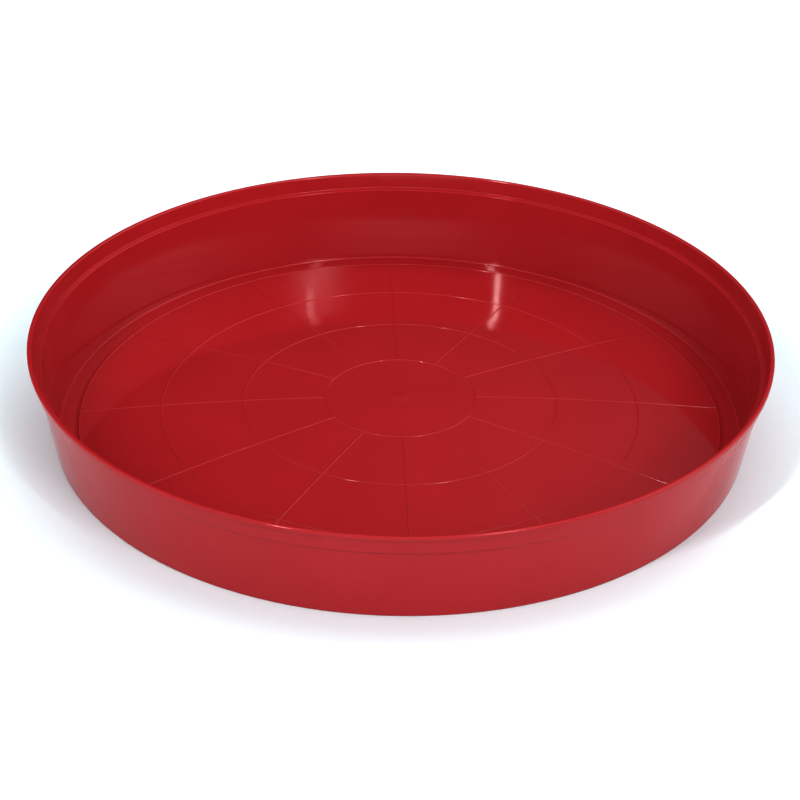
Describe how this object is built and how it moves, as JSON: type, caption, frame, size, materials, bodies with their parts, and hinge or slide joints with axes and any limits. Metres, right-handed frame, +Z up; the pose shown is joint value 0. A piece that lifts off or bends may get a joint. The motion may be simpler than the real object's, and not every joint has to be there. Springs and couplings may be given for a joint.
{
  "type": "poultry feed pan",
  "caption": "Round shallow feed pan with a sloping wall, a stepped lip with a rounded rim, and a low domed floor with raised rings and radial lines.",
  "frame": {"origin": "centre of the plane the pan stands on, on the pan's axis", "axes": "+Z up along the pan's axis, out of its open side; +X along one of the radial lines on the floor"},
  "size_m": [0.4, 0.4, 0.0535],
  "materials": {
    "red_plastic": "glossy moulded plastic, self-coloured red"
  },
  "bodies": {
    "root": {"feed_pan": "red_plastic"}
  },
  "joints": []
}
